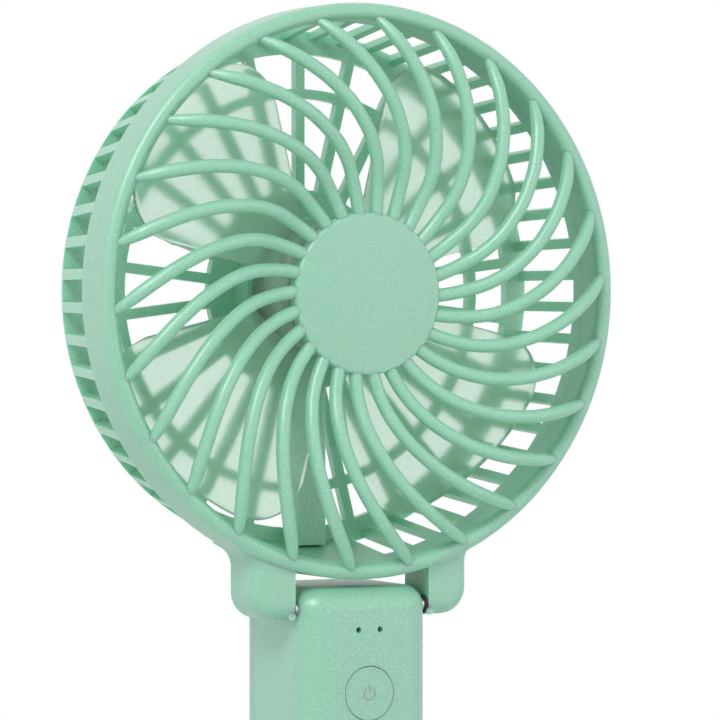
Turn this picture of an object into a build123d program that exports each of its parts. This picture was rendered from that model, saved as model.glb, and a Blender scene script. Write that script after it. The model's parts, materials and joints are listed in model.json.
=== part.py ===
from build123d import *
import os
from math import cos, pi, radians, sin, sqrt

os.makedirs("parts", exist_ok=True)

# Handheld folding fan: a battery handle and a round caged head that nods forward
# over the handle's top. Millimetres, +Z up, front faces -Y.
# Origin: centre of the handle's flat bottom.

# Handle
handle_width = 26.4
handle_depth = 26.6
handle_height = 99.7
handle_edge_round = 5.3
handle_top_round = 4.0
handle_foot_round = 0.8
handle_wall = 1.8
back_shell_depth = 5.3

# Button and indicator holes in the handle's front
button_diameter = 9.75
button_below_top = 19.3
button_seam = 0.15
button_travel = 0.5
button_flange_width = 0.9
button_flange_thickness = 0.8
button_stem_radius = 1.5
button_stem_length = 0.4
switch_rest_gap = 0.7
led_below_top = 7.7
led_spacing = 4.4
led_hole_radius = 0.55
led_recess = 1.0

# Circuit board behind the button
board_behind_wall = 3.9
board_thickness = 1.2
board_width = 21.6
board_neck_width = 17.6
board_bottom_below_top = 25.4
board_shoulder_below_top = 9.5
board_top_below_top = 4.5
board_post_radius = 1.3
board_post_x = 7.0
board_post_inset = 2.6
switch_width = 4.5
led_chip = (1.6, 0.8, 0.8)
usb_width = 7.5
usb_height = 2.7
usb_length = 5.6
usb_wall = 0.35
usb_below_top = 16.5
usb_clearance = 0.25
usb_setback = 0.3
usb_tongue_setback = 1.0
usb_tongue_inset = 1.5

# Battery and its bay
cell_radius = 9.2
cell_length = 65.2
cell_nub_radius = 2.75
cell_nub_height = 0.5
cell_clearance = 0.3
contact_thickness = 0.4
contact_width = 12.0
spring_height = 4.3
spring_outer_radius = 4.0
spring_inner_radius = 3.0
bay_roof_thickness = 1.4

# Sliding battery cover in the back shell
cover_side_gap = 0.2
cover_thickness = 1.6
cover_rail_width = 1.0
cover_rail_thickness = 0.7
cover_rail_drop = 0.3

# Screws that close the handle
shell_screw_x = 6.5
shell_screw_below_top = 21.5
shell_screw_boss_radius = 2.6
shell_screw_boss_length = 11.0
shell_screw_web = 1.6
screw_shaft_radius = 1.0
screw_head_radius = 1.9
screw_head_height = 1.3
screw_recess_depth = 1.6
screw_fit = 0.02
screw_end_room = 1.0
recess_gap = 0.2

# Head: rim, ears, grilles
rim_over_handle = 1.3
rim_radius = 52.5
rim_wall = 3.1
rim_depth = 9.2
rim_set_back = 1.0
rim_edge_round = 1.45
ear_set_back = 1.6
ear_gap = 0.55
ear_width = 8.5
ear_back = 10.9
ear_below_rim = 7.0
ear_corner_round = 5.0
ear_blend = 4.0
ear_edge_round = 2.5
ear_nub_radius = 0.7
ear_nub_reach = 0.25
ear_nub_depth = 1.3

drum_step = 1.1
drum_rear_radius = 48.4
drum_depth = 28.5
drum_corner_round = 2.0
drum_wall = 1.2
lip_length = 3.0
lip_wall = 1.2
lip_clearance = 0.1
side_slot_start = 9.6
side_bar_count = 52
side_bar_width = 1.9
rear_bar_count = 26
rear_bar_width = 1.9
rear_thickness = 1.8
mount_plate_radius = 19.0
ring_inner_radius = 36.1
ring_outer_radius = 37.9
outer_cells_radius = 44.4
floor_half_width = 9.0

rib_count = 26
rib_radius = 1.25
rib_reach_forward = 6.0
# Share of the way out, turn in degrees, depth behind the rim's front
rib_stations = (
    (0.0, -2.2, 0.6),
    (0.16, 1.3, -0.3),
    (0.32, 5.6, -2.3),
    (0.49, 12.1, -3.7),
    (0.65, 18.7, -4.0),
    (0.81, 25.2, -2.9),
    (0.93, 29.8, -0.6),
    (1.0, 32.2, 1.9),
)
hub_disc_radius = 14.8
hub_disc_thickness = 2.6
hub_disc_proud = 0.85
hub_disc_round = 0.6
hub_drop = 0.5
grille_fit = 0.02

# Hinge between ears and handle
pin_radius = 1.2
pin_running_clearance = 0.05
pin_press_clearance = 0.02
pin_in_ear = 4.0
pin_in_handle = 3.8
pivot_behind_front = 4.6
pivot_below_top = 3.8
pivot_boss_radius = 3.2
pivot_boss_length = 4.0
washer_radius = 1.7
washer_thickness = 0.8
washer_seat_depth = 0.5

# Motor and impeller
motor_front = 11.8
motor_radius = 10.4
motor_length = 11.0
end_cap_radius = 9.8
end_cap_thickness = 1.6
motor_boss_wall = 3.4
motor_boss_front = 21.3
motor_press_clearance = 0.02
motor_screw_x = 6.0
motor_screw_boss_radius = 2.4
bearing_radius = 2.6
bearing_length = 1.6
shaft_radius = 1.0
shaft_running_clearance = 0.05
shaft_press_clearance = 0.01
motor_inner_gap = 1.0
motor_end_wall = 1.0
shaft_end_room = 2.0
impeller_front = 8.5
impeller_hub_radius = 13.0
impeller_hub_depth = 12.0
impeller_hub_wall = 1.2
impeller_hub_round = 1.5
impeller_boss_radius = 2.4
blade_count = 4
blade_tip_radius = 46.0
blade_span = 63.0
blade_rise = 11.0
blade_start = 9.2
blade_thickness = 1.0
blade_tip_round = 9.0
blade_sections = 5

# Motor leads in their channel behind the impeller
channel_half_width = 3.0
channel_depth = 4.5
channel_wall = 1.0
lead_radius = 0.55
lead_spacing = 1.8
lead_above_channel = 5.0

# How far a solid runs into its neighbour where they join, and a cutter past a face
join = 1.0
past = 2.0
match = 0.05

# Places worked out from the sizes above
front_y = -handle_depth / 2
back_y = handle_depth / 2
split_y = back_y - back_shell_depth
inner_front_y = front_y + handle_wall
pivot_y = front_y + pivot_behind_front
pivot_z = handle_height - pivot_below_top
head_y = front_y + rim_set_back
head_z = handle_height + rim_over_handle + rim_radius
rim_bore = rim_radius - rim_wall
ear_y = head_y + ear_set_back
button_z = handle_height - button_below_top
led_z = handle_height - led_below_top
board_front_y = inner_front_y + board_behind_wall
board_back_y = board_front_y + board_thickness
cover_inner_y = back_y - cover_thickness
cell_y = cover_inner_y - cover_side_gap - cell_clearance - cell_radius
cell_bottom = handle_wall + contact_thickness + spring_height
cell_top = cell_bottom + cell_length
bay_roof_z = cell_top + cell_nub_height + contact_thickness
bay_top_z = bay_roof_z + bay_roof_thickness
cover_half_width = cell_radius
cover_height = bay_top_z
usb_z = handle_height - usb_below_top
shell_screw_z = handle_height - shell_screw_below_top
ear_inner_x = handle_width / 2 + ear_gap
ear_outer_x = ear_inner_x + ear_width
ear_bottom_z = head_z - rim_radius - ear_below_rim
hub_z = head_z - hub_drop
drum_front_radius = rim_radius - drum_step
board_bottom = handle_height - board_bottom_below_top
board_shoulder = handle_height - board_shoulder_below_top
board_post_rows = (board_bottom + board_post_inset, board_shoulder - board_post_inset)
motor_rear = motor_front + motor_length
rear_inner = drum_depth - rear_thickness
impeller_hub_rear = impeller_front + impeller_hub_depth


def save(name, shape):
    shape.label = name
    export_step(shape, "parts/" + name + ".step")


def box(x0, x1, y0, y1, z0, z1):
    """A box between two corners."""
    size = Box(x1 - x0, y1 - y0, z1 - z0)
    return Pos((x0 + x1) / 2, (y0 + y1) / 2, (z0 + z1) / 2) * size


def rod_x(radius, x0, x1, y, z):
    """A cylinder along X."""
    rod = Rot(0, 90, 0) * Cylinder(radius, abs(x1 - x0))
    return Pos((x0 + x1) / 2, y, z) * rod


def rod_y(radius, x, z, y0, y1):
    """A cylinder along Y."""
    rod = Rot(90, 0, 0) * Cylinder(radius, abs(y1 - y0))
    return Pos(x, (y0 + y1) / 2, z) * rod


def rod_z(radius, x, y, z0, z1):
    """A cylinder along Z."""
    return Pos(x, y, (z0 + z1) / 2) * Cylinder(radius, z1 - z0)


def on_axis(radius, y0, y1):
    """A cylinder on the head's axis, y measured back from the rim's front."""
    return rod_y(radius, 0, head_z, head_y + y0, head_y + y1)


def tube_on_axis(outer, inner, y0, y1):
    return on_axis(outer, y0, y1) - on_axis(inner, y0, y1)


def head_plan(sketch, y0, y1):
    """Extrude a sketch drawn in x and height above the head's axis, from y0 back to y1."""
    plane = Plane(origin=(0, head_y + y0, head_z), x_dir=(1, 0, 0), z_dir=(0, -1, 0))
    return extrude(plane * sketch, -(y1 - y0))


def mirrored(shape):
    return mirror(shape, about=Plane.YZ)


# Handle

def handle_block():
    block = extrude(RectangleRounded(handle_width, handle_depth, handle_edge_round), handle_height)
    block = fillet(block.edges().group_by(Axis.Z)[-1], handle_top_round)
    return fillet(block.edges().group_by(Axis.Z)[0], handle_foot_round)


def handle_cavity():
    width = handle_width - 2 * handle_wall
    depth = handle_depth - 2 * handle_wall
    cavity = extrude(RectangleRounded(width, depth, handle_edge_round - handle_wall),
                     handle_height - 2 * handle_wall)
    cavity = fillet(cavity.edges().group_by(Axis.Z)[-1], handle_top_round - handle_wall)
    return Pos(0, 0, handle_wall) * cavity


def pivot_boss(block):
    outer_x = handle_width / 2
    return block & rod_x(pivot_boss_radius, outer_x - pivot_boss_length, outer_x, pivot_y, pivot_z)


def front_shell(block, cavity):
    behind = box(-handle_width, handle_width, split_y, handle_depth, -past, handle_height + past)
    shell = block - cavity - behind
    half_width = handle_width / 2 - handle_wall / 2
    roof = box(-half_width, half_width, inner_front_y - handle_wall / 2, split_y, bay_roof_z, bay_top_z)
    shell += roof & block
    for x in (-board_post_x, board_post_x):
        for z in board_post_rows:
            shell += rod_y(board_post_radius, x, z, inner_front_y - handle_wall / 2, board_front_y)
    for x in (-shell_screw_x, shell_screw_x):
        boss_front = split_y - shell_screw_boss_length
        shell += rod_y(shell_screw_boss_radius, x, shell_screw_z, boss_front, split_y)
        wall_x = half_width if x > 0 else -half_width
        shell += box(min(x, wall_x), max(x, wall_x), boss_front, split_y,
                     shell_screw_z - shell_screw_web / 2, shell_screw_z + shell_screw_web / 2)
        shell -= rod_y(screw_shaft_radius + screw_fit, x, shell_screw_z, boss_front, split_y)
    boss = pivot_boss(block)
    shell += boss
    shell += mirrored(boss)
    shell -= rod_x(pin_radius + pin_running_clearance, -handle_width, handle_width, pivot_y, pivot_z)
    hole_radius = button_diameter / 2 + button_seam
    shell -= rod_y(hole_radius, 0, button_z, front_y - past, inner_front_y)
    for x in (-led_spacing / 2, led_spacing / 2):
        shell -= rod_y(led_hole_radius, x, led_z, front_y - past, inner_front_y)
    shell -= box(handle_width / 2 - handle_wall, handle_width,
                 board_back_y - usb_clearance, board_back_y + usb_height + usb_clearance,
                 usb_z - usb_width / 2 - usb_clearance, usb_z + usb_width / 2 + usb_clearance)
    return shell


def back_shell(block, cavity):
    ahead = box(-handle_width, handle_width, -handle_depth, split_y, -past, handle_height + past)
    shell = block - cavity - ahead
    opening = cover_half_width + cover_side_gap
    groove = opening + cover_rail_width + cover_side_gap
    rail_back = cover_inner_y + cover_rail_drop
    rail_front = rail_back - cover_rail_thickness
    for x in (-shell_screw_x, shell_screw_x):
        shell += rod_y(shell_screw_boss_radius, x, shell_screw_z, split_y, back_y - handle_wall / 2)
        shell -= rod_y(screw_head_radius + recess_gap, x, shell_screw_z,
                       back_y - screw_recess_depth, back_y + past)
        shell -= rod_y(screw_shaft_radius + screw_fit, x, shell_screw_z, split_y, back_y)
    shell -= box(-opening, opening, cover_inner_y - cover_side_gap, handle_depth,
                 -past, cover_height + cover_side_gap)
    shell -= box(-groove, groove, rail_front - cover_side_gap, rail_back + cover_side_gap,
                 -past, cover_height + cover_side_gap)
    return shell


def battery_cover(block):
    panel = block & box(-cover_half_width, cover_half_width, cover_inner_y, handle_depth, 0, cover_height)
    rail_back = cover_inner_y + cover_rail_drop
    rail_x = cover_half_width + cover_rail_width
    rails = box(-rail_x, rail_x, rail_back - cover_rail_thickness, rail_back, handle_foot_round, cover_height)
    return panel + rails


def shell_screws():
    screws = []
    for x in (-shell_screw_x, shell_screw_x):
        seat = back_y - screw_recess_depth
        head = rod_y(screw_head_radius, x, shell_screw_z, seat, seat + screw_head_height)
        shaft = rod_y(screw_shaft_radius, x, shell_screw_z, split_y - shell_screw_boss_length + screw_end_room, seat)
        screws.append(head + shaft)
    return Compound(children=screws)


def power_button():
    flange_front = inner_front_y + button_seam
    flange_back = flange_front + button_flange_thickness
    cap = rod_y(button_diameter / 2, 0, button_z, front_y, flange_front)
    flange = rod_y(button_diameter / 2 + button_flange_width, 0, button_z, flange_front, flange_back)
    stem = rod_y(button_stem_radius, 0, button_z, flange_back, flange_back + button_stem_length)
    return cap + flange + stem


def circuit_board():
    top = handle_height - board_top_below_top
    wide = box(-board_width / 2, board_width / 2, board_front_y, board_back_y, board_bottom, board_shoulder)
    neck = box(-board_neck_width / 2, board_neck_width / 2, board_front_y, board_back_y, board_shoulder, top)
    return wide + neck


def tactile_switch():
    stem_end = inner_front_y + button_seam + button_flange_thickness + button_stem_length
    top = stem_end + switch_rest_gap
    half = switch_width / 2
    body_top = top + button_travel
    body = box(-half, half, body_top, board_front_y, button_z - half, button_z + half)
    return body + rod_y(button_stem_radius, 0, button_z, top, body_top)


def indicator(x):
    width, height, thickness = led_chip
    return box(x - width / 2, x + width / 2, board_front_y - thickness, board_front_y,
               led_z - height / 2, led_z + height / 2)


def light_guide(x):
    return rod_y(led_hole_radius - screw_fit, x, led_z, front_y + led_recess, board_front_y - led_chip[2])


def usb_socket():
    outer_x = handle_width / 2 - usb_setback
    low = usb_z - usb_width / 2
    high = usb_z + usb_width / 2
    back = board_back_y + usb_height
    can = box(outer_x - usb_length, outer_x, board_back_y, back, low, high)
    bore = box(outer_x - usb_length + usb_wall, outer_x, board_back_y + usb_wall, back - usb_wall,
               low + usb_wall, high - usb_wall)
    tongue_y = board_back_y + usb_height / 2
    tongue = box(outer_x - usb_length, outer_x - usb_tongue_setback, tongue_y - usb_wall, tongue_y + usb_wall,
                 low + usb_tongue_inset, high - usb_tongue_inset)
    return can - bore + tongue


def battery_cell():
    can = rod_z(cell_radius, 0, cell_y, cell_bottom, cell_top)
    nub = rod_z(cell_nub_radius, 0, cell_y, cell_top, cell_top + cell_nub_height)
    return can + nub


def contact_plate(z0):
    half = contact_width / 2
    return box(-half, half, cell_y - half, cell_y + half, z0, z0 + contact_thickness)


def battery_spring():
    z0 = handle_wall + contact_thickness
    outer = rod_z(spring_outer_radius, 0, cell_y, z0, cell_bottom)
    return outer - rod_z(spring_inner_radius, 0, cell_y, z0, cell_bottom)


# Head

def ears_plan():
    """The rim's disc with the two ears under it, blended and rounded."""
    ear_height = rim_radius - rim_wall / 2 + ear_below_rim
    ear_low = ear_bottom_z - head_z
    ears = Sketch()
    for side in (-1, 1):
        ear_x = side * (ear_inner_x + ear_outer_x) / 2
        ears += Pos(ear_x, ear_low + ear_height / 2) * Rectangle(ear_width, ear_height)
    plan = Circle(rim_radius) + ears
    joint_z = -sqrt(rim_radius ** 2 - ear_outer_x ** 2)
    for z, radius in ((joint_z, ear_blend), (ear_low, ear_corner_round)):
        outer = Vector(ear_outer_x, z)
        corners = plan.vertices().filter_by(lambda v: (Vector(abs(v.X), v.Y) - outer).length < match)
        plan = fillet(corners, radius)
    return plan


def head_front_shell():
    """Rounded rim ring with the two ears that straddle the handle."""
    ring = tube_on_axis(rim_radius, rim_bore, 0, rim_depth)
    ring = fillet(ring.edges().group_by(Axis.Y)[0], rim_edge_round)
    ears = head_plan(ears_plan(), ear_set_back, ear_back)
    inner = ears.edges().group_by(Axis.Y)[0].filter_by(lambda e: abs(e.center().X) > ear_inner_x + match)
    ears = fillet(inner, ear_edge_round)
    ears &= box(-rim_radius, rim_radius, head_y, head_y + drum_depth,
                ear_bottom_z, head_z - rim_radius + ear_below_rim)
    ears -= on_axis(drum_front_radius + grille_fit, 0, drum_depth)
    shell = ring + ears
    seat = rim_bore + lip_wall + lip_clearance
    shell -= on_axis(seat, rim_depth - lip_length - lip_clearance, rim_depth)
    for side in (-1, 1):
        nub_x = side * (ear_inner_x + ear_nub_radius - ear_nub_reach)
        shell += rod_y(ear_nub_radius, nub_x, ear_bottom_z + ear_nub_radius, ear_y + ear_nub_radius / 2,
                       ear_y + ear_nub_depth)
        washer_seat = side * (ear_inner_x + washer_seat_depth)
        shell -= rod_x(washer_radius + pin_running_clearance, side * (ear_inner_x - ear_nub_reach),
                       washer_seat, pivot_y, pivot_z)
        shell -= rod_x(pin_radius + pin_press_clearance, side * ear_inner_x,
                       side * (ear_inner_x + pin_in_ear), pivot_y, pivot_z)
    return shell


def rib_path():
    """One rib's centre line, from under the hub disc out to the rim, bulging forward between."""
    start = hub_disc_radius - rib_radius
    reach = rim_bore + rib_radius + hub_drop - start
    points = []
    for share, turn, depth in rib_stations:
        radius = start + reach * share
        angle = radians(turn)
        points.append((radius * cos(angle), head_y + depth, hub_z + radius * sin(angle)))
    return Spline(points)


def front_grille():
    path = rib_path()
    section = Plane(origin=path @ 0, z_dir=path % 0) * Circle(rib_radius)
    rib = sweep(section, path=path)
    disc = rod_y(hub_disc_radius, 0, hub_z, head_y - hub_disc_proud,
                 head_y - hub_disc_proud + hub_disc_thickness)
    disc = fillet(disc.edges().group_by(Axis.Y)[0], hub_disc_round)
    axis = Axis((0, head_y, hub_z), (0, 1, 0))
    inside = on_axis(rim_bore - grille_fit, -rib_reach_forward, rim_depth)
    ribs = [rib.rotate(axis, 360 * i / rib_count) & inside for i in range(rib_count)]
    return disc + ribs


def drum_profile(inset):
    """Half outline of the drum, radius against depth, from its front edge to the axis."""
    front = drum_front_radius - inset
    rear = drum_rear_radius - inset
    depth = drum_depth - (rear_thickness if inset else 0)
    outline = Polyline((0, rim_depth), (front, rim_depth), (rear, depth), (0, depth), close=True)
    face = make_face(outline)
    corner = face.vertices().sort_by_distance((rear, depth))[0]
    return fillet(corner, drum_corner_round - inset)


def drum_solid(inset):
    profile = drum_profile(inset)
    plane = Plane(origin=(0, head_y, head_z), x_dir=(1, 0, 0), z_dir=(0, 0, 1))
    return revolve(plane * profile, Axis((0, head_y, head_z), (0, 1, 0)))


def bars(count, width, y0, y1):
    """Radial bars through the axis, count of them round the circle."""
    axis = Axis((0, head_y, head_z), (0, 1, 0))
    reach = 2 * rim_radius
    long_bar = box(-reach / 2, reach / 2, head_y + y0, head_y + y1, head_z - width / 2, head_z + width / 2)
    return [long_bar.rotate(axis, 360 * (i + 0.5) / count) for i in range(count // 2)]


def slot_cutters():
    """Slots round the drum's side and cells in its rear face, with the bars left between."""
    floor = box(-floor_half_width, floor_half_width, head_y, head_y + 2 * drum_depth,
                head_z - rim_radius, head_z - outer_cells_radius)
    side = tube_on_axis(rim_radius, outer_cells_radius, side_slot_start, rear_inner)
    side = side - bars(side_bar_count, side_bar_width, 0, drum_depth) - floor
    front = rear_inner - past
    back = drum_depth + past
    rear = on_axis(outer_cells_radius, front, back)
    rear -= tube_on_axis(ring_outer_radius, ring_inner_radius, front, back)
    rear -= on_axis(mount_plate_radius, front, back)
    rear = rear - bars(rear_bar_count, rear_bar_width, front, back)
    return side, rear


def rear_grille():
    """Drum with slotted side, barred rear face, motor boss and lead channel."""
    side, rear = slot_cutters()
    drum = drum_solid(0) - drum_solid(drum_wall)
    drum = drum - side - rear
    drum += tube_on_axis(rim_bore + lip_wall, rim_bore, rim_depth - lip_length, side_slot_start)
    boss_radius = motor_radius + motor_boss_wall
    drum += tube_on_axis(boss_radius, motor_radius + motor_press_clearance, motor_boss_front, rear_inner)
    half = channel_half_width
    channel_top = head_z - boss_radius + join
    channel_low = head_z - drum_rear_radius + join
    channel_front = head_y + rear_inner - channel_depth
    drum += box(-half, half, channel_front, head_y + rear_inner, channel_low, channel_top)
    groove = half - channel_wall
    drum -= box(-groove, groove, channel_front + channel_wall, head_y + rear_inner,
                channel_low + channel_wall, channel_top + motor_boss_wall)
    for x in (-motor_screw_x, motor_screw_x):
        drum += rod_y(motor_screw_boss_radius, x, head_z, head_y + motor_rear + end_cap_thickness,
                      head_y + drum_depth)
        drum -= rod_y(screw_head_radius + recess_gap, x, head_z, head_y + drum_depth - screw_recess_depth,
                      head_y + drum_depth + past)
        drum -= rod_y(screw_shaft_radius + screw_fit, x, head_z, head_y + motor_rear, head_y + drum_depth)
    return drum


def motor_screws():
    screws = []
    for x in (-motor_screw_x, motor_screw_x):
        seat = head_y + drum_depth - screw_recess_depth
        head = rod_y(screw_head_radius, x, head_z, seat, seat + screw_head_height)
        shaft = rod_y(screw_shaft_radius, x, head_z, head_y + motor_rear + end_cap_thickness, seat)
        screws.append(head + shaft)
    return Compound(children=screws)


def motor_can():
    can = on_axis(motor_radius, motor_front, motor_rear)
    can -= on_axis(bearing_radius + motor_press_clearance, motor_front, motor_front + bearing_length)
    return can - on_axis(shaft_radius + motor_inner_gap, motor_front, motor_rear - motor_end_wall)


def hinge_pin():
    start = handle_width / 2 - pin_in_handle
    return rod_x(pin_radius, start, ear_inner_x + pin_in_ear - screw_fit, pivot_y, pivot_z)


def friction_washer():
    outer = ear_inner_x + washer_seat_depth
    inner = outer - washer_thickness
    ring = rod_x(washer_radius, inner, outer, pivot_y, pivot_z)
    return ring - rod_x(pin_radius + pin_running_clearance, inner, outer, pivot_y, pivot_z)


def motor_lead(x):
    y = head_y + rear_inner - (channel_depth - channel_wall) / 2
    top = head_z - motor_radius + lead_above_channel
    low = head_z - drum_rear_radius + join + channel_wall + lead_radius
    return rod_z(lead_radius, x, y, low, top)


def blade():
    """One blade: a helical sheet whose pitch steepens towards the hub."""
    inner = impeller_hub_radius - impeller_hub_wall / 2
    sections = []
    for step in range(blade_sections):
        t = step / (blade_sections - 1)
        turn = blade_span * (t - 0.5)
        y = head_y + blade_start + blade_rise * (1 - t)
        plane = Plane(origin=(0, y, head_z), x_dir=(cos(radians(turn)), 0, sin(radians(turn))),
                      z_dir=(-sin(radians(turn)), 0, cos(radians(turn))))
        strip = Pos((inner + blade_tip_radius) / 2, 0) * Rectangle(blade_tip_radius - inner, blade_thickness)
        sections.append(plane * strip)
    sheet = loft(sections)
    half = radians(blade_span / 2)
    reach = 2 * blade_tip_radius
    wedge = make_face(Polyline((0, 0), (reach * cos(half), -reach * sin(half)),
                               (reach * cos(half), reach * sin(half)), close=True))
    plan = wedge & Circle(blade_tip_radius)
    tips = plan.vertices().filter_by(lambda v: v.X > impeller_hub_radius)
    plan = fillet(tips, blade_tip_round)
    return sheet & head_plan(plan, 0, drum_depth)


def impeller():
    hub = on_axis(impeller_hub_radius, impeller_front, impeller_hub_rear)
    hub = fillet(hub.edges().group_by(Axis.Y)[0], impeller_hub_round)
    hub -= on_axis(impeller_hub_radius - impeller_hub_wall, impeller_front + impeller_hub_wall, impeller_hub_rear)
    hub += on_axis(impeller_boss_radius, impeller_front + impeller_hub_wall,
                   motor_front - 2 * shaft_running_clearance)
    one = blade()
    axis = Axis((0, head_y, head_z), (0, 1, 0))
    blades = [one.rotate(axis, 360 * (i + 0.5) / blade_count) for i in range(blade_count)]
    hub = hub + blades
    return hub - on_axis(shaft_radius + shaft_press_clearance, impeller_front + impeller_hub_wall, motor_front)


def motor_bearing():
    return tube_on_axis(bearing_radius, shaft_radius + shaft_running_clearance, motor_front,
                        motor_front + bearing_length)


def main():
    block = handle_block()
    cavity = handle_cavity()
    save("handle_front_shell", front_shell(block, cavity))
    save("handle_back_shell", back_shell(block, cavity))
    save("battery_cover", battery_cover(block))
    save("handle_screws", shell_screws())
    save("power_button", power_button())
    save("circuit_board", circuit_board())
    save("tactile_switch", tactile_switch())
    save("charge_led", indicator(-led_spacing / 2))
    save("power_led", indicator(led_spacing / 2))
    save("charge_light_guide", light_guide(-led_spacing / 2))
    save("power_light_guide", light_guide(led_spacing / 2))
    save("usb_socket", usb_socket())
    save("battery_cell", battery_cell())
    save("battery_contact_plus", contact_plate(bay_roof_z - contact_thickness))
    save("battery_contact_minus", contact_plate(handle_wall))
    save("battery_spring", battery_spring())
    save("head_front_shell", head_front_shell())
    save("front_grille", front_grille())
    save("rear_grille", rear_grille())
    save("motor_screws", motor_screws())
    save("motor_can", motor_can())
    save("motor_end_cap", on_axis(end_cap_radius, motor_rear, motor_rear + end_cap_thickness))
    save("motor_bearing", motor_bearing())
    save("motor_lead_plus", motor_lead(-lead_spacing / 2))
    save("motor_lead_minus", motor_lead(lead_spacing / 2))
    pin = hinge_pin()
    washer = friction_washer()
    save("hinge_pin_right", pin)
    save("hinge_pin_left", mirrored(pin))
    save("friction_washer_right", washer)
    save("friction_washer_left", mirrored(washer))
    save("impeller", impeller())
    save("motor_shaft", on_axis(shaft_radius, impeller_front + impeller_hub_wall, motor_rear - shaft_end_room))


main()
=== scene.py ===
import json
import math
import bmesh
import bpy
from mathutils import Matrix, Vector


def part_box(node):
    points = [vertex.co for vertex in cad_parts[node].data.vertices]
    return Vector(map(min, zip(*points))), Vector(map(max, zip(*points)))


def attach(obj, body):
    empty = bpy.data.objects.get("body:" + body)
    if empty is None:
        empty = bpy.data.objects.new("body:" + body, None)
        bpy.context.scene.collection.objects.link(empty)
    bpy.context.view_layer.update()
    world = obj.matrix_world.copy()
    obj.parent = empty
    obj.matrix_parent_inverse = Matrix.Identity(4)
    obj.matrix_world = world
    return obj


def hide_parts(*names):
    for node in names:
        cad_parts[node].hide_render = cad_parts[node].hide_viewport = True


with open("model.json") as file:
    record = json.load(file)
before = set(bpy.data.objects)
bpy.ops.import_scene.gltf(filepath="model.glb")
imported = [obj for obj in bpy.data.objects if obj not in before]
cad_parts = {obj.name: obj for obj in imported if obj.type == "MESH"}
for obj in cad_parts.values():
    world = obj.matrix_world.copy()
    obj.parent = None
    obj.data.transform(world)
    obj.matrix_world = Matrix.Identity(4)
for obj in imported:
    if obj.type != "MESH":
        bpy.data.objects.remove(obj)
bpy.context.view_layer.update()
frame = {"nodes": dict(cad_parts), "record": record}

mm = 0.001

# the head's axis, at the rim's front plane
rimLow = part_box("head_front_shell")[0]
canLow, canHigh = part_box("motor_can")
headCentre = Vector((0.0, rimLow[1], (canLow[2] + canHigh[2]) / 2))
print("frame loaded: head axis at", [round(v, 4) for v in headCentre])


cameraSettings = {
    "azimuth": -28.0,        # degrees, seen from the fan's left front
    "distance": 0.750,       # from the rim's centre
    "focalPixels": 4125.0,   # of the 720 pixel frame
    "frame": 720.0,
    "axisAtPixel": (367.0, 291.0),   # where the rim's centre lies in the picture
}


def placeCamera(settings):
    turn = math.radians(settings["azimuth"])
    back = Vector((math.sin(turn), -math.cos(turn), 0))
    data = bpy.data.cameras.new("photoCamera")
    camera = bpy.data.objects.new("photoCamera", data)
    bpy.context.scene.collection.objects.link(camera)
    camera.location = headCentre + back * settings["distance"]
    camera.rotation_euler = back.to_track_quat("Z", "Y").to_euler()
    data.sensor_width = 36.0
    data.lens = settings["focalPixels"] / settings["frame"] * data.sensor_width
    half = settings["frame"] / 2
    data.shift_x = (half - settings["axisAtPixel"][0]) / settings["frame"]
    data.shift_y = (settings["axisAtPixel"][1] - half) / settings["frame"]
    data.clip_start = 0.01
    data.dof.use_dof = False
    bpy.context.scene.camera = camera


placeCamera(cameraSettings)
print("camera placed")


lightSettings = {
    "worldStrength": 0.55,
    "keyPower": 6.5, "keySize": 0.45, "keyPlace": (-0.75, -0.60, 0.95),
    "fillPower": 1.2, "fillSize": 0.8, "fillPlace": (0.6, -0.9, 0.35),
    "floorHalf": 0.42, "floorTone": 0.92, "floorRoughness": 0.8,
}


def addLamp(name, power, size, place, target):
    data = bpy.data.lights.new(name, "AREA")
    data.shape = "DISK"
    data.energy = power
    data.size = size
    lamp = bpy.data.objects.new(name, data)
    bpy.context.scene.collection.objects.link(lamp)
    lamp.location = place
    lamp.rotation_euler = (Vector(place) - Vector(target)).to_track_quat("Z", "Y").to_euler()


def whiteWhereSeen(tree, surface, strength):
    # pure white to the camera and in gloss and glass, a plain level for the light itself
    path = tree.nodes.new("ShaderNodeLightPath")
    first = tree.nodes.new("ShaderNodeMath")
    first.operation = "MAXIMUM"
    second = tree.nodes.new("ShaderNodeMath")
    second.operation = "MAXIMUM"
    mix = tree.nodes.new("ShaderNodeMix")
    mix.data_type = "FLOAT"
    tree.links.new(path.outputs["Is Camera Ray"], first.inputs[0])
    tree.links.new(path.outputs["Is Glossy Ray"], first.inputs[1])
    tree.links.new(first.outputs[0], second.inputs[0])
    tree.links.new(path.outputs["Is Transmission Ray"], second.inputs[1])
    tree.links.new(second.outputs[0], mix.inputs[0])
    mix.inputs[2].default_value = strength
    mix.inputs[3].default_value = 1.0
    tree.links.new(mix.outputs[0], surface.inputs["Strength"])


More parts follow.
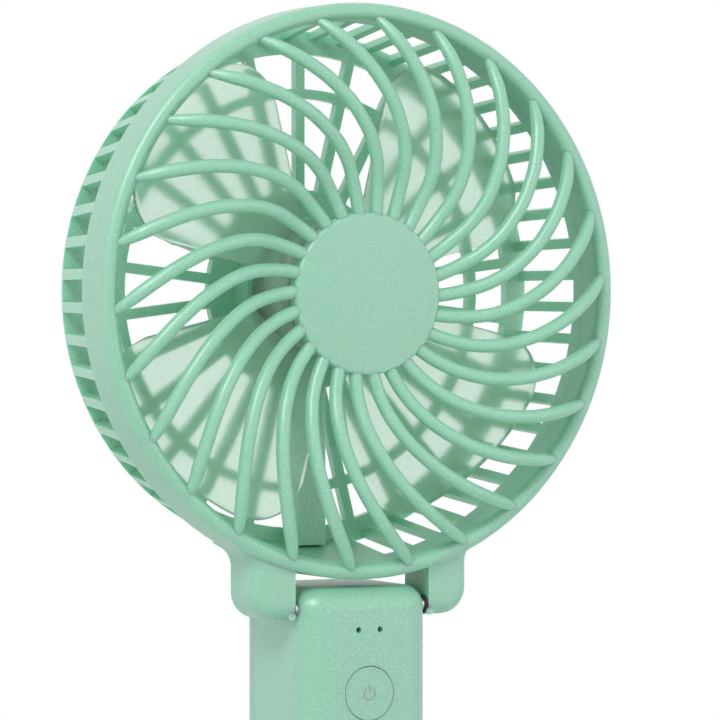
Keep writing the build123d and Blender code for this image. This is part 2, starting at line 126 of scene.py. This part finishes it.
def makeStage(settings):
    world = bpy.data.worlds.new("studioWorld")
    bpy.context.scene.world = world
    world.use_nodes = True
    background = world.node_tree.nodes["Background"]
    background.inputs["Color"].default_value = (1.0, 1.0, 1.0, 1.0)
    whiteWhereSeen(world.node_tree, background, settings["worldStrength"])
    addLamp("keyLamp", settings["keyPower"], settings["keySize"], settings["keyPlace"], headCentre)
    addLamp("fillLamp", settings["fillPower"], settings["fillSize"], settings["fillPlace"], headCentre)
    mesh = bpy.data.meshes.new("paleFloor")
    half = settings["floorHalf"]
    corners = [(-half, -half, 0), (half, -half, 0), (half, half, 0), (-half, half, 0)]
    mesh.from_pydata(corners, [], [(0, 1, 2, 3)])
    floor = bpy.data.objects.new("paleFloor", mesh)
    bpy.context.scene.collection.objects.link(floor)
    paint = bpy.data.materials.new("paleFloor")
    paint.use_nodes = True
    shader = paint.node_tree.nodes["Principled BSDF"]
    shader.inputs["Base Color"].default_value = (*[settings["floorTone"]] * 3, 1.0)
    shader.inputs["Roughness"].default_value = settings["floorRoughness"]
    mesh.materials.append(paint)
    bpy.context.scene.view_settings.view_transform = "Standard"


makeStage(lightSettings)
print("stage and lamps made")


# one row for each finish in the record: two tones, their patch size and grain in noise scale,
# the height of the grain, and what goes straight on the shader
finishSettings = {
    "mint_plastic": {"dark": (0.235, 0.575, 0.400), "light": (0.365, 0.680, 0.530), "patch": 4400.0,
                     "grain": 3000.0, "height": 0.00004,
                     "shader": {"Roughness": 0.42, "Specular IOR Level": 1.0, "Subsurface Weight": 0.85,
                                "Subsurface Scale": 0.0022, "Subsurface Radius": (0.25, 1.0, 0.55),
                                "Coat Weight": 0.6, "Coat Roughness": 0.42}},
    "blade_clear": {"dark": (0.70, 0.90, 0.78), "light": (0.80, 0.95, 0.86), "patch": 1500.0,
                    "grain": 1500.0, "height": 0.00003,
                    "shader": {"Roughness": 0.30, "Transmission Weight": 0.82, "IOR": 1.15,
                               "Specular IOR Level": 0.8}},
    "clear_guide": {"dark": (0.80, 0.92, 0.86), "light": (0.86, 0.96, 0.91), "patch": 900.0,
                    "grain": 2500.0, "height": 0.00001,
                    "shader": {"Roughness": 0.12, "Transmission Weight": 0.9, "IOR": 1.45}},
    "screw_steel": {"dark": (0.42, 0.43, 0.45), "light": (0.60, 0.61, 0.62), "patch": 1400.0,
                    "grain": 2600.0, "height": 0.00001, "shader": {"Roughness": 0.34, "Metallic": 1.0}},
    "pin_steel": {"dark": (0.52, 0.53, 0.54), "light": (0.66, 0.67, 0.68), "patch": 900.0,
                  "grain": 3000.0, "height": 0.000006, "stretch": (0.08, 1.0, 1.0),
                  "shader": {"Roughness": 0.22, "Metallic": 1.0}},
    "motor_steel": {"dark": (0.40, 0.41, 0.42), "light": (0.55, 0.56, 0.57), "patch": 700.0,
                    "grain": 2400.0, "height": 0.00001, "stretch": (1.0, 0.06, 1.0),
                    "shader": {"Roughness": 0.30, "Metallic": 1.0}},
    "socket_steel": {"dark": (0.62, 0.62, 0.63), "light": (0.78, 0.78, 0.79), "patch": 1200.0,
                     "grain": 2600.0, "height": 0.000006, "shader": {"Roughness": 0.20, "Metallic": 1.0}},
    "contact_nickel": {"dark": (0.60, 0.58, 0.53), "light": (0.78, 0.76, 0.71), "patch": 800.0,
                       "grain": 2600.0, "height": 0.00001, "shader": {"Roughness": 0.26, "Metallic": 1.0}},
    "bearing_brass": {"dark": (0.56, 0.40, 0.17), "light": (0.74, 0.57, 0.28), "patch": 1500.0,
                      "grain": 4200.0, "height": 0.00002, "shader": {"Roughness": 0.42, "Metallic": 1.0}},
    "black_plastic": {"dark": (0.018, 0.018, 0.019), "light": (0.040, 0.040, 0.042), "patch": 900.0,
                      "grain": 3200.0, "height": 0.00002, "shader": {"Roughness": 0.48}},
    "board_green": {"dark": (0.020, 0.150, 0.065), "light": (0.045, 0.240, 0.105), "patch": 500.0,
                    "grain": 1800.0, "height": 0.00002, "shader": {"Roughness": 0.28, "Coat Weight": 0.5}},
    "cell_wrap": {"dark": (0.070, 0.200, 0.480), "light": (0.110, 0.270, 0.590), "patch": 260.0,
                  "grain": 700.0, "height": 0.00003, "shader": {"Roughness": 0.24, "Coat Weight": 0.4}},
    "led_white": {"dark": (0.80, 0.76, 0.52), "light": (0.92, 0.90, 0.72), "patch": 2200.0,
                  "grain": 3000.0, "height": 0.00001, "shader": {"Roughness": 0.30}},
    "lead_red": {"dark": (0.480, 0.030, 0.022), "light": (0.640, 0.050, 0.036), "patch": 800.0,
                 "grain": 2200.0, "height": 0.00002, "shader": {"Roughness": 0.40}},
    "lead_black": {"dark": (0.014, 0.014, 0.014), "light": (0.032, 0.032, 0.032), "patch": 800.0,
                   "grain": 2200.0, "height": 0.00002, "shader": {"Roughness": 0.42}},
    "washer_rubber": {"dark": (0.030, 0.032, 0.031), "light": (0.060, 0.062, 0.061), "patch": 1600.0,
                      "grain": 3600.0, "height": 0.00003, "shader": {"Roughness": 0.75}},
}
toneLevels = (0.36, 0.64)    # the noise levels where the dark tone ends and the light one begins
patchDetail = 2.0
grainDetail = 3.0
grainStrength = 0.5


def noiseOn(tree, scale, detail, stretch):
    place = tree.nodes.new("ShaderNodeTexCoord")
    mapping = tree.nodes.new("ShaderNodeMapping")
    mapping.inputs["Scale"].default_value = stretch
    noise = tree.nodes.new("ShaderNodeTexNoise")
    noise.inputs["Scale"].default_value = scale
    noise.inputs["Detail"].default_value = detail
    tree.links.new(place.outputs["Object"], mapping.inputs["Vector"])
    tree.links.new(mapping.outputs["Vector"], noise.inputs["Vector"])
    return noise.outputs[0]


def makeFinish(name, settings):
    paint = bpy.data.materials.new(name)
    paint.use_nodes = True
    tree = paint.node_tree
    shader = tree.nodes["Principled BSDF"]
    stretch = settings.get("stretch", (1.0, 1.0, 1.0))
    ramp = tree.nodes.new("ShaderNodeValToRGB")
    for stop, level, tone in zip(ramp.color_ramp.elements, toneLevels, ("dark", "light")):
        stop.position = level
        stop.color = (*settings[tone], 1.0)
    tree.links.new(noiseOn(tree, settings["patch"], patchDetail, stretch), ramp.inputs["Fac"])
    tree.links.new(ramp.outputs["Color"], shader.inputs["Base Color"])
    bump = tree.nodes.new("ShaderNodeBump")
    bump.inputs["Distance"].default_value = settings["height"]
    bump.inputs["Strength"].default_value = grainStrength
    tree.links.new(noiseOn(tree, settings["grain"], grainDetail, stretch), bump.inputs["Height"])
    tree.links.new(bump.outputs["Normal"], shader.inputs["Normal"])
    for socket, value in settings["shader"].items():
        shader.inputs[socket].default_value = value
    return paint


finishes = {name: makeFinish(name, settings) for name, settings in finishSettings.items()}
for row in frame["record"]["subparts"]:
    node = frame["nodes"][row["node"]]
    if not node.data.materials:
        node.data.materials.append(None)
    for slot in node.material_slots:
        slot.material = finishes[row["material_slot"]]
print("finishes made:", len(finishes))


def newTree(name, sizes):
    # a geometry tree with one named input for each size
    tree = bpy.data.node_groups.new(name, "GeometryNodeTree")
    tree.interface.new_socket("Geometry", in_out="INPUT", socket_type="NodeSocketGeometry")
    tree.interface.new_socket("Geometry", in_out="OUTPUT", socket_type="NodeSocketGeometry")
    for label, value in sizes.items():
        kind = "NodeSocketInt" if isinstance(value, int) else "NodeSocketFloat"
        tree.interface.new_socket(label, in_out="INPUT", socket_type=kind)
    return tree, tree.nodes.new("NodeGroupInput").outputs


def add(tree, kind, inputs=None, **settings):
    # one node with its inputs set or linked; gives its first output
    node = tree.nodes.new(kind)
    for key, value in settings.items():
        setattr(node, key, value)
    for key, value in (inputs or {}).items():
        if isinstance(value, bpy.types.NodeSocket):
            tree.links.new(value, node.inputs[key])
        else:
            node.inputs[key].default_value = value
    return node.outputs[0]


def calc(tree, operation, *parts):
    return add(tree, "ShaderNodeMath", dict(enumerate(parts)), operation=operation)


def vector(tree, x, y, z):
    return add(tree, "ShaderNodeCombineXYZ", {0: x, 1: y, 2: z})


def roundTheAxis(tree, shape, count, phase, centre, paint):
    # copies of a shape turned about the head's axis, realised and painted
    points = add(tree, "GeometryNodePoints", {"Count": count, "Position": tuple(centre)})
    index = add(tree, "GeometryNodeInputIndex")
    step = calc(tree, "DIVIDE", 2 * math.pi, count)
    turn = calc(tree, "MULTIPLY", calc(tree, "ADD", index, phase), step)
    turned = add(tree, "FunctionNodeEulerToRotation", {0: vector(tree, 0.0, turn, 0.0)})
    copies = add(tree, "GeometryNodeInstanceOnPoints",
                 {"Points": points, "Instance": shape, "Rotation": turned})
    finishTree(tree, copies, paint)


def finishTree(tree, shape, paint):
    smooth = add(tree, "GeometryNodeSetShadeSmooth", {0: add(tree, "GeometryNodeRealizeInstances", {0: shape})})
    painted = add(tree, "GeometryNodeSetMaterial", {"Geometry": smooth, "Material": paint})
    tree.links.new(painted, tree.nodes.new("NodeGroupOutput").inputs[0])


def grow(name, base, tree, sizes):
    # runs the tree on a base object and keeps the result as a plain mesh
    start = bpy.data.objects.new(name + "Base", base)
    bpy.context.scene.collection.objects.link(start)
    modifier = start.modifiers.new(name, "NODES")
    modifier.node_group = tree
    for item in tree.interface.items_tree:
        if item.name in sizes:
            modifier[item.identifier] = sizes[item.name]
    bpy.context.view_layer.update()
    seen = start.evaluated_get(bpy.context.evaluated_depsgraph_get())
    piece = bpy.data.objects.new(name, bpy.data.meshes.new_from_object(seen))
    start.modifiers.remove(modifier)
    bpy.data.objects.remove(start)
    bpy.context.scene.collection.objects.link(piece)
    return piece


def place(piece, body, finish, *nodes):
    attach(piece, body)
    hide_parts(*nodes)
    if not piece.data.materials:
        piece.data.materials.append(finishes[finish])
    print(piece.name, "made:", len(piece.data.polygons), "faces")


latheSteps = 128
roundSteps = 6


def lathe(name, profile, centre):
    # a closed profile of (radius, depth) turned about the head's axis
    mesh = bpy.data.meshes.new(name)
    build = bmesh.new()
    rings = []
    for radius, depth in profile:
        if radius == 0:
            rings.append([build.verts.new((centre[0], centre[1] + depth, centre[2]))] * latheSteps)
            continue
        ring = []
        for index in range(latheSteps):
            turn = 2 * math.pi * index / latheSteps
            ring.append(build.verts.new((centre[0] + radius * math.cos(turn), centre[1] + depth,
                                         centre[2] + radius * math.sin(turn))))
        rings.append(ring)
    for near, far in zip(rings, rings[1:]):
        for index in range(latheSteps):
            after = (index + 1) % latheSteps
            corners = []
            for vert in (near[index], near[after], far[after], far[index]):
                if vert not in corners:
                    corners.append(vert)
            build.faces.new(corners)
    bmesh.ops.recalc_face_normals(build, faces=build.faces)
    build.to_mesh(mesh)
    build.free()
    mesh.polygons.foreach_set("use_smooth", [True] * len(mesh.polygons))
    piece = bpy.data.objects.new(name, mesh)
    bpy.context.scene.collection.objects.link(piece)
    return piece


def rounded(radius, front, size):
    # the quarter round of a disc's front edge, from its face to its side
    points = []
    for index in range(roundSteps + 1):
        turn = math.pi / 2 * index / roundSteps
        points.append((radius - size + size * math.sin(turn), front + size - size * math.cos(turn)))
    return points


grilleSettings = {
    "count": 26,
    "ribRadius": 1.25 * mm,
    "startRadius": 13.55 * mm,
    "endRadius": 51.15 * mm,
    "taperFrom": 0.84,       # share of the way out where a rib begins to narrow
    "taper": 0.5,            # share of its thickness that it loses there
    "taperPower": 1.5,
    "steps": 44,
    "sides": 14,
    "drop": 0.5 * mm,        # the disc sits this much under the rim's centre
    # share of the way out, turn in degrees, depth behind the rim's front in millimetres
    "line": ((0.0, -2.2, 0.6), (0.16, 1.3, -0.3), (0.32, 5.6, -2.3), (0.49, 12.1, -3.7),
             (0.65, 18.7, -4.0), (0.81, 25.2, -2.9), (0.93, 29.8, -0.6), (1.0, 32.2, 1.9)),
    "discRadius": 14.8 * mm,
    "discFront": -0.85 * mm,
    "discBack": 1.75 * mm,
    "discRound": 0.6 * mm,
}


def ribLine(settings):
    curve = bpy.data.curves.new("ribLine", "CURVE")
    curve.dimensions = "3D"
    spline = curve.splines.new("BEZIER")
    spline.bezier_points.add(len(settings["line"]) - 1)
    for point, (share, turn, depth) in zip(spline.bezier_points, settings["line"]):
        radius = settings["startRadius"] + (settings["endRadius"] - settings["startRadius"]) * share
        angle = math.radians(turn)
        point.co = (radius * math.cos(angle), depth * mm, radius * math.sin(angle))
        point.handle_left_type = "AUTO"
        point.handle_right_type = "AUTO"
    return curve


def makeGrille(settings):
    sizes = {"Rib Count": settings["count"], "Rib Radius": settings["ribRadius"], "Taper": settings["taper"],
             "Steps": settings["steps"], "Sides": settings["sides"]}
    tree, given = newTree("spiralRibs", sizes)
    line = add(tree, "GeometryNodeResampleCurve", {"Curve": given["Geometry"], "Count": given["Steps"]})
    section = add(tree, "GeometryNodeCurvePrimitiveCircle",
                  {"Resolution": given["Sides"], "Radius": given["Rib Radius"]})
    along = add(tree, "GeometryNodeSplineParameter")
    last = calc(tree, "MAXIMUM", calc(tree, "SUBTRACT", along, settings["taperFrom"]), 0.0)
    last = calc(tree, "DIVIDE", last, 1.0 - settings["taperFrom"])
    loss = calc(tree, "MULTIPLY", calc(tree, "POWER", last, settings["taperPower"]), given["Taper"])
    width = calc(tree, "SUBTRACT", 1.0, loss)
    line = add(tree, "GeometryNodeSetCurveRadius", {"Curve": line, "Radius": width})
    rib = add(tree, "GeometryNodeCurveToMesh", {"Curve": line, "Profile Curve": section, "Scale": width,
                                                "Fill Caps": True})
    centre = headCentre - Vector((0, 0, settings["drop"]))
    roundTheAxis(tree, rib, given["Rib Count"], 0.0, centre, finishes["mint_plastic"])
    ribs = grow("spiralRibs", ribLine(settings), tree, sizes)
    place(ribs, "head", "mint_plastic", "front_grille")
    profile = [(0, settings["discFront"])]
    profile += rounded(settings["discRadius"], settings["discFront"], settings["discRound"])
    profile += [(settings["discRadius"], settings["discBack"]), (0, settings["discBack"])]
    place(lathe("frontDisc", profile, centre), "head", "mint_plastic", "front_grille")


makeGrille(grilleSettings)


wheelSettings = {
    "count": 4,
    "tipRadius": 46.0 * mm,
    "tipRound": 9.0 * mm,
    "span": 63.0,            # degrees that one blade covers
    "start": 9.2 * mm,       # behind the rim's front
    "rise": 11.0 * mm,
    "thickness": 1.0 * mm,
    "hubRadius": 13.0 * mm,
    "hubFront": 8.5 * mm,
    "hubBack": 20.5 * mm,
    "hubWall": 1.2 * mm,
    "hubRound": 1.5 * mm,
    "grid": (44, 26),        # points across a blade and along it
    "thinning": 0.6,         # share of its thickness lost at the free edges
    "sidePower": 10.0,
    "tipPower": 14.0,
}


def bladeShape(tree, given, settings):
    # a block of points bent into a helical sheet, thinner at its free edges
    wide, long = settings["grid"]
    block = add(tree, "GeometryNodeMeshCube",
                {"Size": (1.0, 1.0, 1.0), "Vertices X": wide, "Vertices Y": long, "Vertices Z": 2})
    split = tree.nodes.new("ShaderNodeSeparateXYZ")
    tree.links.new(add(tree, "GeometryNodeInputPosition"), split.inputs[0])
    across, out, through = split.outputs
    half = calc(tree, "DIVIDE", given["Span"], 2.0)
    angle = calc(tree, "MULTIPLY", across, given["Span"])
    reach = calc(tree, "SUBTRACT", given["Tip Radius"], given["Tip Round"])
    inset = calc(tree, "ARCSINE", calc(tree, "DIVIDE", given["Tip Round"], reach))
    corner = calc(tree, "SUBTRACT", half, inset)
    beyond = calc(tree, "MAXIMUM", calc(tree, "SUBTRACT", calc(tree, "ABSOLUTE", angle), corner), 0.0)
    side = calc(tree, "MULTIPLY", reach, calc(tree, "SINE", beyond))
    room = calc(tree, "SUBTRACT", calc(tree, "POWER", given["Tip Round"], 2.0), calc(tree, "POWER", side, 2.0))
    arc = calc(tree, "SQRT", calc(tree, "MAXIMUM", room, 0.0))
    tip = calc(tree, "ADD", calc(tree, "MULTIPLY", reach, calc(tree, "COSINE", beyond)), arc)
    share = calc(tree, "ADD", out, 0.5)
    length = calc(tree, "SUBTRACT", tip, given["Root Radius"])
    radius = calc(tree, "ADD", given["Root Radius"], calc(tree, "MULTIPLY", length, share))
    sideways = calc(tree, "MULTIPLY", calc(tree, "ABSOLUTE", across), 2.0)
    edge = calc(tree, "POWER", sideways, settings["sidePower"])
    rim = calc(tree, "POWER", share, settings["tipPower"])
    loss = calc(tree, "MULTIPLY", calc(tree, "MAXIMUM", edge, rim), settings["thinning"])
    thin = calc(tree, "SUBTRACT", 1.0, loss)
    level = calc(tree, "MULTIPLY", calc(tree, "MULTIPLY", through, given["Thickness"]), thin)
    climb = calc(tree, "MULTIPLY", calc(tree, "SUBTRACT", 0.5, across), given["Rise"])
    depth = calc(tree, "ADD", calc(tree, "ADD", given["Start"], climb), level)
    x = calc(tree, "MULTIPLY", radius, calc(tree, "COSINE", angle))
    z = calc(tree, "MULTIPLY", radius, calc(tree, "SINE", angle))
    spot = vector(tree, x, depth, z)
    return add(tree, "GeometryNodeSetPosition", {"Geometry": block, "Position": spot})


def makeWheel(settings):
    sizes = {"Blade Count": settings["count"], "Tip Radius": settings["tipRadius"],
             "Tip Round": settings["tipRound"], "Span": math.radians(settings["span"]),
             "Start": settings["start"], "Rise": settings["rise"], "Thickness": settings["thickness"],
             "Root Radius": settings["hubRadius"] - settings["hubWall"] / 2}
    tree, given = newTree("fanBlades", sizes)
    blade = bladeShape(tree, given, settings)
    roundTheAxis(tree, blade, given["Blade Count"], 0.5, headCentre, finishes["blade_clear"])
    blades = grow("fanBlades", bpy.data.meshes.new("fanBladesBase"), tree, sizes)
    place(blades, "fan_wheel", "blade_clear", "impeller")
    radius, wall = settings["hubRadius"], settings["hubWall"]
    front, back = settings["hubFront"], settings["hubBack"]
    profile = [(0, front)] + rounded(radius, front, settings["hubRound"])
    profile += [(radius, back), (radius - wall, back), (radius - wall, front + wall), (0, front + wall)]
    place(lathe("fanHub", profile, headCentre), "fan_wheel", "blade_clear", "impeller")


makeWheel(wheelSettings)


screwSettings = {
    "pairs": {
        "handle_screws": {"piece": "handleScrews", "body": "handle"},
        "motor_screws": {"piece": "motorScrews", "body": "head"},
    },
    "headRadius": 1.9 * mm, "headHeight": 1.3 * mm, "shaftRadius": 1.0 * mm,
    "slotWidth": 0.55 * mm, "slotLength": 2.3 * mm, "slotDepth": 0.7 * mm,
    "headSides": 40, "shaftSides": 24,
}


def screwShape(tree, given, settings):
    # a screw along Z with its head's top at the origin and a cross cut in it
    head = add(tree, "GeometryNodeMeshCylinder",
               {"Vertices": settings["headSides"], "Radius": given["Head Radius"], "Depth": given["Head Height"]})
    lower = calc(tree, "DIVIDE", given["Head Height"], -2.0)
    head = add(tree, "GeometryNodeTransform",
               {"Geometry": head, "Translation": vector(tree, 0.0, 0.0, lower)})
    deep = calc(tree, "MULTIPLY", given["Slot Depth"], 2.0)
    for wide, long in (("Slot Width", "Slot Length"), ("Slot Length", "Slot Width")):
        cutter = add(tree, "GeometryNodeMeshCube", {"Size": vector(tree, given[wide], given[long], deep)})
        head = add(tree, "GeometryNodeMeshBoolean", {"Mesh 1": head, "Mesh 2": cutter}, operation="DIFFERENCE")
    length = calc(tree, "SUBTRACT", given["Length"], given["Head Height"])
    shaft = add(tree, "GeometryNodeMeshCylinder",
                {"Vertices": settings["shaftSides"], "Radius": given["Shaft Radius"], "Depth": length})
    sunk = calc(tree, "SUBTRACT", calc(tree, "DIVIDE", length, -2.0), given["Head Height"])
    shaft = add(tree, "GeometryNodeTransform",
                {"Geometry": shaft, "Translation": vector(tree, 0.0, 0.0, sunk)})
    screw = tree.nodes.new("GeometryNodeJoinGeometry")
    tree.links.new(head, screw.inputs[0])
    tree.links.new(shaft, screw.inputs[0])
    return screw.outputs[0]


def makeScrewPair(node, piece, body, settings):
    low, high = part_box(node)
    spacing = high[0] - low[0] - 2 * settings["headRadius"]
    sizes = {"Spacing": spacing, "Head Radius": settings["headRadius"], "Head Height": settings["headHeight"],
             "Shaft Radius": settings["shaftRadius"], "Length": high[1] - low[1],
             "Slot Width": settings["slotWidth"], "Slot Length": settings["slotLength"],
             "Slot Depth": settings["slotDepth"]}
    tree, given = newTree(piece, sizes)
    screw = screwShape(tree, given, settings)
    facingBack = (-math.pi / 2, 0.0, 0.0)
    rear = add(tree, "GeometryNodeTransform", {"Geometry": screw, "Rotation": facingBack})
    start = (-spacing / 2, high[1], (low[2] + high[2]) / 2)
    offset = vector(tree, given["Spacing"], 0.0, 0.0)
    points = add(tree, "GeometryNodeMeshLine", {"Count": 2, "Start Location": start, "Offset": offset})
    copies = add(tree, "GeometryNodeInstanceOnPoints", {"Points": points, "Instance": rear})
    finishTree(tree, copies, finishes["screw_steel"])
    screws = grow(piece, bpy.data.meshes.new(piece + "Base"), tree, sizes)
    screws.data.polygons.foreach_set("use_smooth", [False] * len(screws.data.polygons))
    place(screws, body, "screw_steel", node)


for node, row in screwSettings["pairs"].items():
    makeScrewPair(node, row["piece"], row["body"], screwSettings)


markSettings = {
    "radius": 1.15 * mm,
    "opening": 76.0,         # degrees left open at the top
    "stroke": 0.15 * mm,
    "stemFrom": 0.25 * mm,
    "stemTo": 1.45 * mm,
    "proud": 0.05 * mm,
    "ringSteps": 32,
}


def makeMark(settings):
    # a plain power sign moulded on the button
    low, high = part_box("power_button")
    depth = low[1] + settings["stroke"] - settings["proud"]
    centre = Vector(((low[0] + high[0]) / 2, depth, (low[2] + high[2]) / 2))
    curve = bpy.data.curves.new("powerMark", "CURVE")
    curve.dimensions = "3D"
    curve.bevel_depth = settings["stroke"]
    curve.bevel_resolution = 2
    curve.use_fill_caps = True
    opening = math.radians(settings["opening"])
    ring = []
    for index in range(settings["ringSteps"] + 1):
        turn = (math.pi + opening) / 2 + (2 * math.pi - opening) * index / settings["ringSteps"]
        ring.append((settings["radius"] * math.cos(turn), settings["radius"] * math.sin(turn)))
    stem = [(0.0, settings["stemFrom"]), (0.0, settings["stemTo"])]
    for line in (ring, stem):
        spline = curve.splines.new("POLY")
        spline.points.add(len(line) - 1)
        for point, (x, z) in zip(spline.points, line):
            point.co = (centre[0] + x, centre[1], centre[2] + z, 1.0)
    holder = bpy.data.objects.new("powerMarkLine", curve)
    bpy.context.scene.collection.objects.link(holder)
    bpy.context.view_layer.update()
    seen = holder.evaluated_get(bpy.context.evaluated_depsgraph_get())
    mark = bpy.data.objects.new("powerMark", bpy.data.meshes.new_from_object(seen))
    bpy.data.objects.remove(holder)
    bpy.context.scene.collection.objects.link(mark)
    mark.data.polygons.foreach_set("use_smooth", [True] * len(mark.data.polygons))
    mark.data.materials.clear()
    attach(mark, "button")
    mark.data.materials.append(finishes["mint_plastic"])
    print("powerMark made")


makeMark(markSettings)
